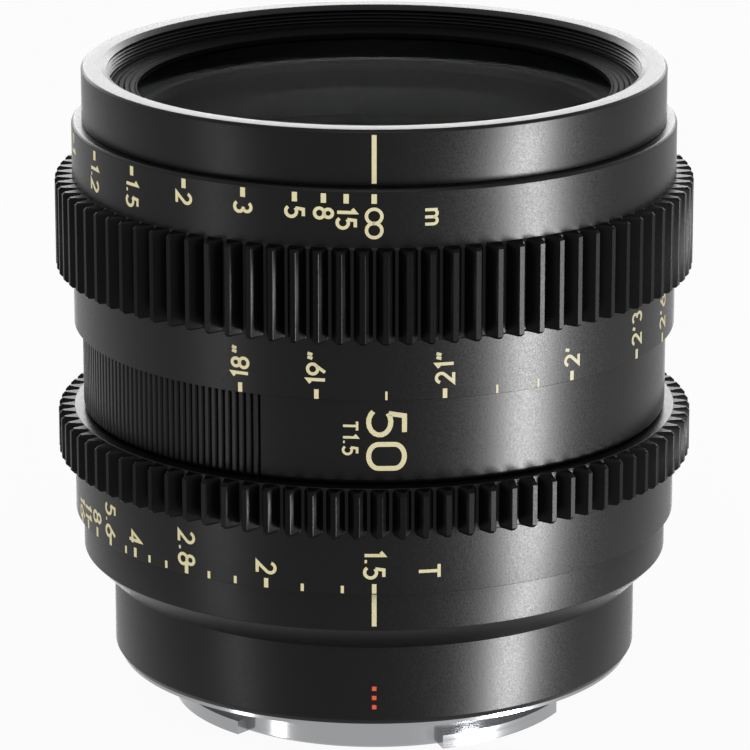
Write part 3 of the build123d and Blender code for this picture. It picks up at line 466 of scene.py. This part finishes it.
def copies_round(name, template, count, first_angle, angle_step, surface):
    """Runs the tree and keeps its result as a plain mesh."""
    holder = placed_object(name, bpy.data.meshes.new(name))
    modifier = holder.modifiers.new("copies", "NODES")
    modifier.node_group = round_axis
    values = {
        "Template": template,
        "Count": count,
        "First Angle": first_angle,
        "Angle Step": angle_step,
        "Finish": surface,
    }
    for item in round_axis.interface.items_tree:
        if item.in_out == "INPUT":
            modifier[item.identifier] = values[item.name]
    bpy.context.view_layer.update()
    evaluated = holder.evaluated_get(bpy.context.evaluated_depsgraph_get())
    mesh = bpy.data.meshes.new_from_object(evaluated)
    mesh.name = name
    bpy.data.objects.remove(holder)
    bpy.data.objects.remove(template)
    return finished(name, mesh, surface)


# Geared rings
def gear_tooth(name, gear, surface):
    """One tooth at angle zero: straight flanks, eased tip corners and chamfered ends."""
    levels = (
        (gear.foot, gear.chamfer),
        (gear.foot + gear.chamfer, 0.0),
        (gear.top - gear.chamfer, 0.0),
        (gear.top, gear.chamfer),
    )
    embed = 0.2 * MM
    root_fillet = 0.12 * MM
    tip_corner = 0.07 * MM
    root_flare = radians(0.12)
    fillet_turn = radians(0.09)
    corner_turn = radians(0.05)
    tip_turn = radians(0.08)
    root_taper_share, tip_taper_share = 0.6, 0.3
    sections = []
    for level, inset in levels:
        tip = GEAR_TIP - inset
        root_half = ROOT_HALF_ANGLE - inset / GEAR_TIP * root_taper_share
        tip_half = TIP_HALF_ANGLE - inset / GEAR_TIP * tip_taper_share
        side = [
            (GEAR_ROOT - embed, root_half + root_flare),
            (GEAR_ROOT, root_half + root_flare),
            (GEAR_ROOT + root_fillet, root_half - fillet_turn),
            (tip - tip_corner, tip_half + corner_turn),
            (tip, tip_half - tip_turn),
        ]
        sections.append(both_sides(side, level))
    return stacked(name, sections, surface)


def geared_ring(name, radius, bore, low, high, gear, band_edge):
    """Scale ring: two bands, the root drum of its gear and ninety teeth."""
    drum_edge = 0.1 * MM
    step_foot, step_top = 0.02 * MM, 0.2 * MM
    profile = [
        (bore, low),
        (radius, low),
        (radius, gear.foot + step_foot),
        (GEAR_ROOT, gear.foot + step_top),
        (GEAR_ROOT, gear.top - step_top),
        (radius, gear.top - step_foot),
        (radius, high - band_edge),
        (radius - band_edge, high),
        (bore, high),
    ]
    body = lathe(name + "_body", profile, barrel_black, drum_edge)
    tooth = gear_tooth(name + "_tooth", gear, gear_black)
    tooth_step = 2 * pi / GEAR_TEETH
    teeth = copies_round(name + "_teeth", tooth, GEAR_TEETH, gear.first_angle, tooth_step, gear_black)
    return joined(name, [body, teeth])


# The focus ring's lip at its top lies hidden under the front ring, and is left out here
focus_lip = 1.9 * MM
focus_bore = inner_radius("focus_ring") + focus_lip
iris_bore = inner_radius("iris_ring")
focus_ring = geared_ring(
    "focus_ring_dressed", focus_radius, focus_bore, focus_foot, focus_top, FOCUS_GEAR, 0.3 * MM
)
iris_ring = geared_ring(
    "iris_ring_dressed", iris_radius, iris_bore, iris_foot, iris_top, IRIS_GEAR, 0.05 * MM
)

# Front ring, from its skirt up to the lip, down the filter thread and round the seat of the glass
skirt_foot = 69.25 * MM
skirt_bore = 31.05 * MM
skirt_ceiling = 70.5 * MM
lip_edge = 0.3 * MM
lip_bore = 31.35 * MM
lead_in = 0.46 * MM
thread_bore = 30.6 * MM
thread_depth = 0.28 * MM
thread_start = 0.6 * MM
thread_half_pitch = 0.21 * MM
thread_turns = 8
ledge_bore = 30.25 * MM
ledge_level = 73.2 * MM
glass_seat = 72.0 * MM
glass_bore = 27.65 * MM
stop_bore = 26.6 * MM
stop_level = 69.4 * MM
tail_foot = 68.4 * MM
tail_radius = 28.3 * MM
thread = [
    (thread_bore + (thread_depth if k % 2 else 0.0), front_top - thread_start - thread_half_pitch * k)
    for k in range(thread_turns)
]
front_profile = [
    (skirt_bore, skirt_foot),
    (front_radius, skirt_foot),
    (front_radius, front_top - lip_edge),
    (front_radius - lip_edge, front_top),
    (lip_bore, front_top),
    (thread_bore, front_top - lead_in),
    *thread,
    (thread_bore, ledge_level),
    (ledge_bore, ledge_level),
    (ledge_bore, glass_seat),
    (glass_bore, glass_seat),
    (glass_bore, stop_level),
    (stop_bore, stop_level),
    (stop_bore, tail_foot),
    (tail_radius, tail_foot),
    (tail_radius, skirt_ceiling),
    (skirt_bore, skirt_ceiling),
]
front_ring = lathe("front_ring_dressed", front_profile, barrel_black, 0.06 * MM)

# Retaining ring: its face slopes down to the glass and has four light-trapping grooves
retainer_bore = 27.2 * MM
retainer_foot = 72.3 * MM
retainer_slope = 0.3 * MM
groove_count = 4
groove_step = 0.63 * MM
groove_half_width = 0.2 * MM
groove_depth = 0.18 * MM
retainer_profile = [(retainer_bore, retainer_foot), (ledge_bore, retainer_foot), (ledge_bore, ledge_level)]
for groove in range(groove_count):
    middle = retainer_bore + groove_step * (groove_count - groove - 0.5)
    level = ledge_level - retainer_slope * (ledge_bore - middle) / (ledge_bore - retainer_bore)
    retainer_profile += [
        (middle + groove_half_width, level),
        (middle, level - groove_depth),
        (middle - groove_half_width, level),
    ]
retainer_profile.append((retainer_bore, ledge_level - retainer_slope))
retaining_ring = lathe("front_retaining_ring_dressed", retainer_profile, inner_black, 0.04 * MM)

# Index ring with its undercut, and the rear barrel below it
fixed_bore = 29.05 * MM
fixed_ease = 0.08 * MM
undercut_radius = 30.95 * MM
undercut_top = 18.4 * MM
index_profile = [
    (fixed_bore, index_foot),
    (undercut_radius, index_foot),
    (index_radius, undercut_top),
    (index_radius, index_top),
    (fixed_bore, index_top),
]
index_ring = lathe("index_ring_dressed", index_profile, barrel_black, fixed_ease)
rear_bevel_width = 0.35 * MM
rear_bevel_height = 0.6 * MM
rear_profile = [
    (fixed_bore, rear_foot),
    (rear_radius - rear_bevel_width, rear_foot),
    (rear_radius, rear_foot + rear_bevel_height),
    (rear_radius, rear_top),
    (fixed_bore, rear_top),
]
rear_barrel = lathe("rear_barrel_dressed", rear_profile, barrel_black, fixed_ease)

# Middle section: one turned piece whose outside steps back where the grip segment sits
GRIP_START, GRIP_END = radians(112.0), radians(247.9)
GRIP_DEPTH = 1.45 * MM
RIB_STEP = radians(1.5)
foot_rounding = 0.7 * MM
tube_bore = 28.35 * MM
tube_foot, tube_top = 11.5 * MM, 70.5 * MM
tail_tube_radius = 29.0 * MM
tube_radius = 31.0 * MM
step_gap = 0.05 * MM


def middle_profile(angle):
    """Tube under the rings with the visible middle section, stepped back behind the grip."""
    behind_grip = GRIP_START < angle < GRIP_END
    outside = mid_radius - (GRIP_DEPTH if behind_grip else 0.0)
    rounding = 0.02 * MM if behind_grip else foot_rounding
    top_edge = 0.1 * MM
    bends = 6
    profile = [
        (tube_bore, tube_foot),
        (tail_tube_radius, tube_foot),
        (tail_tube_radius, iris_foot - step_gap),
        (tube_radius, iris_foot - step_gap),
        (tube_radius, mid_foot),
    ]
    for k in range(bends + 1):
        turn = radians(90 * k / bends)
        radius = outside - rounding * (1 - sin(turn))
        level = mid_foot + rounding * (1 - cos(turn))
        profile.append((radius, level))
    profile += [
        (outside, mid_top - top_edge),
        (outside - top_edge, mid_top),
        (tube_radius, mid_top),
        (tube_radius, tube_top),
        (tube_bore, tube_top),
    ]
    return profile


def middle_barrel(name):
    steps = 2 * RING_STEPS
    half_step = pi / steps
    profiles = [middle_profile(half_step + 2 * pi * i / steps) for i in range(steps)]
    return finished(name, ring_mesh(name, profiles, half_step), barrel_black)


def grip_rib():
    """One rib at angle zero: rounded crest, valley walls and a lower end that follows the barrel."""
    half = RIB_STEP / 2
    valley_half_angle = asin(0.17 * MM / mid_radius)
    valley_depth = 0.32 * MM
    crest_edge = 0.06 * MM
    top_edge = 0.12 * MM
    wall_share, crest_share = 0.95, 1.5
    bends = 5
    levels = []
    for k in range(bends + 1):
        turn = radians(90 * k / bends)
        levels.append((mid_foot + foot_rounding * (1 - cos(turn)), foot_rounding * (1 - sin(turn))))
    levels += [(mid_top - top_edge, 0.0), (mid_top, top_edge)]
    sections = []
    for level, inset in levels:
        crest = mid_radius - inset
        side = [
            (mid_radius - GRIP_DEPTH, half),
            (crest - valley_depth, half),
            (crest - crest_edge, half - valley_half_angle * wall_share),
            (crest, half - valley_half_angle * crest_share),
        ]
        sections.append(both_sides(side, level))
    return stacked("grip_rib", sections, barrel_black)


main_barrel = middle_barrel("main_barrel_dressed")
rib_count = round((GRIP_END - GRIP_START) / RIB_STEP)
grip_segment = copies_round(
    "grip_segment_dressed", grip_rib(), rib_count, GRIP_END - RIB_STEP / 2, -RIB_STEP, barrel_black
)


# Scale markings: a thin geometric stroke font, wrapped on the rings as flat painted ribbons
def arc(x, y, rx, ry, start, end, steps=14):
    turns = [radians(start + (end - start) * k / steps) for k in range(steps + 1)]
    return [(x + rx * cos(a), y + ry * sin(a)) for a in turns]


def loop(x, y, rx, ry):
    return arc(x, y, rx, ry, 0, 360, steps=24)


# Each glyph: width, then its strokes, as shares of its height
GLYPH_SHARES = {
    "0": (
        0.56,
        [arc(0.28, 0.72, 0.28, 0.28, 0, 180) + arc(0.28, 0.28, 0.28, 0.28, 180, 360) + [(0.56, 0.72)]],
    ),
    "1": (0.2, [[(0.0, 0.84), (0.2, 1.0), (0.2, 0.0)]]),
    "2": (0.56, [arc(0.27, 0.72, 0.27, 0.28, 165, -38) + [(0.0, 0.0), (0.56, 0.0)]]),
    "3": (0.54, [arc(0.26, 0.75, 0.25, 0.25, 150, -80), arc(0.26, 0.27, 0.28, 0.27, 90, -150)]),
    "4": (0.6, [[(0.44, 0.0), (0.44, 1.0), (0.0, 0.26), (0.6, 0.26)]]),
    "5": (0.56, [[(0.5, 1.0), (0.12, 1.0), (0.06, 0.56)], arc(0.26, 0.31, 0.3, 0.31, 132, -145)]),
    "6": (0.58, [loop(0.29, 0.29, 0.29, 0.29), [(0.46, 1.0), (0.05, 0.43)]]),
    "8": (0.56, [loop(0.28, 0.76, 0.23, 0.24), loop(0.28, 0.27, 0.28, 0.27)]),
    "9": (0.58, [loop(0.29, 0.71, 0.29, 0.29), [(0.12, 0.0), (0.53, 0.57)]]),
    ".": (0.04, [[(0.02, 0.0), (0.02, 0.12)]]),
    "m": (
        0.8,
        [
            [(0.0, 0.0), (0.0, 0.68)],
            arc(0.2, 0.46, 0.2, 0.2, 180, 0) + [(0.4, 0.0)],
            arc(0.6, 0.46, 0.2, 0.2, 180, 0) + [(0.8, 0.0)],
        ],
    ),
    "T": (0.66, [[(0.0, 1.0), (0.66, 1.0)], [(0.33, 1.0), (0.33, 0.0)]]),
    "'": (0.06, [[(0.08, 1.0), (0.0, 0.72)]]),
    '"': (0.3, [[(0.08, 1.0), (0.0, 0.72)], [(0.3, 1.0), (0.22, 0.72)]]),
    "~": (1.9, [loop(0.48, 0.5, 0.48, 0.5), loop(1.42, 0.5, 0.48, 0.5)]),
}
INFINITY = "~"
SAME_POINT_SHARE = 0.001

# Paint stands a little proud of the metal, and its underside lies in it
PAINT_TOP, PAINT_FOOT = 0.02 * MM, -0.03 * MM
LONGEST_CHORD = 0.5 * MM


def ribbon(made, path, stroke, radius, closed):
    """Closed flat ribbon along (arc length, level) points on a cylinder."""
    least_cosine = 0.4
    points = [Vector(path[0])]
    for target in path[1:]:
        target = Vector(target)
        parts = max(1, ceil(abs(target.x - points[-1].x) / LONGEST_CHORD))
        start = points[-1]
        points += [start.lerp(target, (k + 1) / parts) for k in range(parts)]
    if closed:
        points.pop()
    count = len(points)
    sections = []
    for i, here in enumerate(points):
        before = points[i - 1] if i or closed else here
        after = points[(i + 1) % count] if i < count - 1 or closed else here
        a = (here - before).normalized() if before is not here else (after - here).normalized()
        b = (after - here).normalized() if after is not here else a
        mean = (a + b).normalized()
        side = Vector((-mean.y, mean.x)) * stroke / 2 / max(least_cosine, mean.dot(a))
        corners = (
            (here + side, PAINT_TOP),
            (here - side, PAINT_TOP),
            (here - side, PAINT_FOOT),
            (here + side, PAINT_FOOT),
        )
        sections.append(
            [made.verts.new(on_axis(radius + lift, p.x / radius - pi / 2, p.y)) for p, lift in corners]
        )
    for i in range(count if closed else count - 1):
        a, b = sections[i], sections[(i + 1) % count]
        for k in range(4):
            made.faces.new((a[k], a[(k + 1) % 4], b[(k + 1) % 4], b[k]))
    if not closed:
        made.faces.new(list(reversed(sections[0])))
        made.faces.new(sections[-1])


def write(made, text, radius, angle, level, height, stroke, way=1, wide=1.0):
    """Turned text: way 1 reads down with its head towards +X, way -1 reads up."""
    middle = radians(angle) * radius
    reach = height - stroke
    gap = 0.12 * height
    centring = (stroke - height) / 2
    x = stroke / 2
    for letter in text:
        width, strokes = GLYPH_SHARES[letter]
        for path in strokes:
            placed = [
                (middle + way * (v * reach + centring), level - way * (x + u * reach * wide))
                for u, v in path
            ]
            closed = (Vector(path[0]) - Vector(path[-1])).length < SAME_POINT_SHARE
            ribbon(made, placed, stroke, radius, closed)
        x += width * reach * wide + stroke + gap


def tick(made, radius, angle, low, high, width):
    middle = radians(angle) * radius
    ribbon(made, [(middle, low), (middle, high)], width, radius, False)


def markings(name, draw, surface):
    made = bmesh.new()
    draw(made)
    mesh = mesh_from(name, made)
    mesh.materials.append(surface)
    return placed_object(name, mesh)


# Labels with their angles in degrees from the camera's side, and the finer ticks between them
METRES = (
    (INFINITY, 0),
    ("15", -5),
    ("8", -9.1),
    ("5", -14.4),
    ("3", -24.3),
    ("2", -36.9),
    ("1.5", -50.5),
    ("1.2", -64.3),
    ("1", -79),
    ("0.8", -104),
    ("0.6", -143),
    ("0.5", -182),
    ("0.45", -205),
)
FEET = (
    ('18"', -25.1),
    ('19"', -10.5),
    ('21"', 12.9),
    ("2'", 39.1),
    ("2'3", 58.2),
    ("2'6", 70.7),
    ("3'", 90),
    ("4'", 112),
    ("6'", 138),
    ("10'", 155),
    ("25'", 169),
    (INFINITY, 180),
)
FEET_MINOR = (2.2, 22.9, 31.4)
STOPS = (
    ("1.5", 0),
    ("2", -20.1),
    ("2.8", -37),
    ("4", -50.7),
    ("5.6", -59.3),
    ("8", -65.2),
    ("11", -70.3),
    ("16", -74.7),
)
STOPS_MINOR = (-5.8, -13.2, -26.3, -31.9, -42, -46.5, -53.7)
INFINITY_HEIGHT = 2.05 * MM


def focus_scales(made):
    """Metres above the gear, read down from their ticks, and feet below it, read up."""
    metre_foot, metre_top, metre_start, metre_height = 67.62 * MM, 68.68 * MM, 67.2 * MM, 2.35 * MM
    for text, angle in METRES:
        tick(made, focus_radius, angle, metre_foot, metre_top, 0.58 * MM)
        tall = INFINITY_HEIGHT if text == INFINITY else metre_height
        write(made, text, focus_radius, angle, metre_start, tall, 0.37 * MM)
    unit_angle, unit_start = 10.8, 67.0 * MM
    write(made, "m", focus_radius, unit_angle, unit_start, metre_height, 0.34 * MM)
    feet_foot, feet_top, feet_start, feet_height = 45.42 * MM, 46.5 * MM, 47.03 * MM, 2.3 * MM
    for text, angle in FEET:
        tick(made, focus_radius, angle, feet_foot, feet_top, 0.5 * MM)
        tall = INFINITY_HEIGHT if text == INFINITY else feet_height
        write(made, text, focus_radius, angle, feet_start, tall, 0.36 * MM, way=-1)
    minor_top = 46.4 * MM
    for angle in FEET_MINOR:
        tick(made, focus_radius, angle, feet_foot, minor_top, 0.24 * MM)


def iris_scale(made):
    """Stops above their ticks: the longer labels start higher, and all end at one level."""
    tick_foot, tick_top, minor_top = 23.1 * MM, 24.2 * MM, 23.95 * MM
    label_end, long_label, short_label = 24.7 * MM, 3.45 * MM, 1.5 * MM
    for text, angle in STOPS:
        tick(made, iris_radius, angle, tick_foot, tick_top, 0.5 * MM)
        length = long_label if "." in text else short_label
        write(made, text, iris_radius, angle, label_end + length, 2.5 * MM, 0.37 * MM)
    for angle in STOPS_MINOR:
        tick(made, iris_radius, angle, tick_foot, minor_top, 0.35 * MM)
    unit_angle, unit_start = 10.0, 26.5 * MM
    write(made, "T", iris_radius, unit_angle, unit_start, 2.65 * MM, 0.37 * MM)


def fixed_marks(made):
    """Index lines of both scales, the feet index at the back, and focal length and stop."""
    line = 0.53 * MM
    metre_index_foot, metre_index_top = 69.56 * MM, 74.98 * MM
    stop_index_foot, stop_index_top = 18.94 * MM, 22.71 * MM
    feet_index_foot, feet_index_top = 43.2 * MM, 45.1 * MM
    tick(made, front_radius, 0, metre_index_foot, metre_index_top, line)
    tick(made, index_radius, 0, stop_index_foot, stop_index_top, line)
    tick(made, mid_radius, 180, feet_index_foot, feet_index_top, 0.5 * MM)
    length_angle, length_start = 2.3, 44.18 * MM
    write(made, "50", mid_radius, length_angle, length_start, 4.5 * MM, 0.55 * MM, wide=1.25)
    stop_angle, stop_start = -4.5, 42.81 * MM
    write(made, "T1.5", mid_radius, stop_angle, stop_start, 1.83 * MM, 0.28 * MM)


def mount_mark(made):
    """Three small squares that line up with the mount."""
    half = 0.25 * MM
    for level in (8.1 * MM, 9.2 * MM, 10.3 * MM):
        tick(made, rear_radius, 0, level - half, level + half, 2 * half)


for name, draw, surface, body in (
    ("focus_scales", focus_scales, cream_paint, "focus_ring"),
    ("iris_scale", iris_scale, cream_paint, "iris_ring"),
    ("fixed_marks", fixed_marks, cream_paint, "root"),
    ("mount_mark", mount_mark, orange_paint, "root"),
):
    marks = markings(name, draw, surface)
    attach(marks, body)

for piece, node in (
    (main_barrel, "main_barrel"),
    (grip_segment, "grip_segment"),
    (focus_ring, "focus_ring"),
    (iris_ring, "iris_ring"),
    (front_ring, "front_ring"),
    (retaining_ring, "front_retaining_ring"),
    (index_ring, "index_ring"),
    (rear_barrel, "rear_barrel"),
):
    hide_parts(node)
    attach(piece, node if node in ("focus_ring", "iris_ring") else "root")

# CAD nodes that stay, with their finishes
slot_finish = {
    "black_anodised": barrel_black,
    "inner_black": inner_black,
    "chromed_brass": chrome,
    "coated_glass": glass,
    "screw_steel": steel,
    "blade_steel": blade_steel,
    "brass_shim": shim_brass,
    "acetal": acetal,
}
node_slots = {s["node"]: s["material_slot"] for s in frame["record"]["subparts"]}
for name, obj in nodes.items():
    surface = slot_finish[node_slots[name]]
    for k in range(len(obj.material_slots)):
        obj.material_slots[k].material = surface
    if not obj.material_slots:
        obj.data.materials.append(surface)


# Studio: a white table and room, with softboxes for the highlights on the black finish
def white_table():
    """White to the camera and seen through glass. The small rest of it is a plain matt surface,
    which takes the lens's shadow."""
    made, tree = material("white_table")
    plain_white_share = 0.94
    matt_grey = (0.5, 0.5, 0.5, 1.0)
    ray = add_node(tree, "ShaderNodeLightPath")
    seen = add_node(
        tree, "ShaderNodeMath", {0: (ray, "Is Camera Ray"), 1: (ray, "Is Glossy Ray")}, operation="MAXIMUM"
    )
    seen = add_node(
        tree, "ShaderNodeMath", {0: (seen, 0), 1: (ray, "Is Transmission Ray")}, operation="MAXIMUM"
    )
    share = add_node(tree, "ShaderNodeMath", {0: (seen, 0)}, {1: plain_white_share}, operation="MULTIPLY")
    table = add_node(tree, "ShaderNodeBsdfDiffuse", (), {"Color": matt_grey})
    paper = add_node(tree, "ShaderNodeEmission", (), {"Color": linear("#FFFFFF"), "Strength": 1.0})
    lit = add_node(
        tree, "ShaderNodeMixShader", {"Fac": (share, 0), 1: (table, "BSDF"), 2: (paper, "Emission")}
    )
    add_node(tree, "ShaderNodeOutputMaterial", {"Surface": (lit, "Shader")})
    return made


table_size = 6.0
table_gap = 0.4 * MM
bpy.ops.mesh.primitive_plane_add(size=table_size, location=(0, 0, -table_gap))
floor = bpy.context.object
floor.name = "studio_floor"
floor.data.materials.append(white_table())

world = bpy.data.worlds.new("studio")
bpy.context.scene.world = world
world.use_nodes = True
world.node_tree.nodes.clear()
room = add_node(
    world.node_tree, "ShaderNodeBackground", (), {"Color": linear("#FFFFFF"), "Strength": 1.0}
)
add_node(world.node_tree, "ShaderNodeOutputWorld", {"Surface": (room, "Background")})


def softbox(name, azimuth, distance, height, aim_height, size, power):
    """Area light that shows in reflections only, since the room lights the colours evenly.
    Azimuth 0 is in front, at -Y, and grows towards +X."""
    data = bpy.data.lights.new(name, "AREA")
    data.shape = "RECTANGLE"
    data.size, data.size_y = size
    data.energy = power
    lamp = placed_object(name, data)
    lamp.visible_camera = False
    lamp.visible_diffuse = False
    turn = radians(azimuth)
    lamp.location = (distance * sin(turn), -distance * cos(turn), height)
    aim = Vector((0, 0, aim_height)) - lamp.location
    lamp.rotation_euler = aim.to_track_quat("-Z", "Y").to_euler()
    return lamp


# The camera looks down on the lens, so its upright walls mirror what stands lower than they do.
# The strips reach below the table for that, and the table lets their light through.
floor.visible_shadow = False
floor.visible_glossy = False

# Softboxes: name, azimuth, distance, height and aim height in metres, (width, height) and watts
for row in (
    ("right_strip", 60, 0.7, -0.16, -0.16, (0.14, 0.5), 27.0),
    ("left_strip", -60, 0.7, -0.16, -0.16, (0.1, 0.5), 1.2),
    ("rim_panel", 180, 0.8, 0.3, 0.04, (1.0, 0.25), 5.0),
    ("rear_right_strip", 168, 0.7, -0.05, -0.05, (0.08, 0.8), 0.5),
    ("rear_left_strip", -168, 0.7, -0.05, -0.05, (0.08, 0.8), 0.5),
):
    softbox(*row)

# The front one also lights the enamel a little
front_key = softbox("front_key", 0, 0.5, 0.72, 0.04, (0.5, 0.4), 1.6)
front_key.visible_diffuse = True

# Camera: its lens, place and turn come from the ellipses and the outline of the photograph
camera_data = bpy.data.cameras.new("camera")
camera_data.lens = 237.5
camera_data.sensor_width = 36.0
camera_data.clip_start = 10 * MM
camera = placed_object("camera", camera_data)
camera.location = (0.0, -0.5542, 0.2007)
camera.rotation_euler = Euler((radians(73.647), 0.0, radians(-0.0098)))
bpy.context.scene.camera = camera
bpy.context.scene.view_settings.view_transform = "Standard"
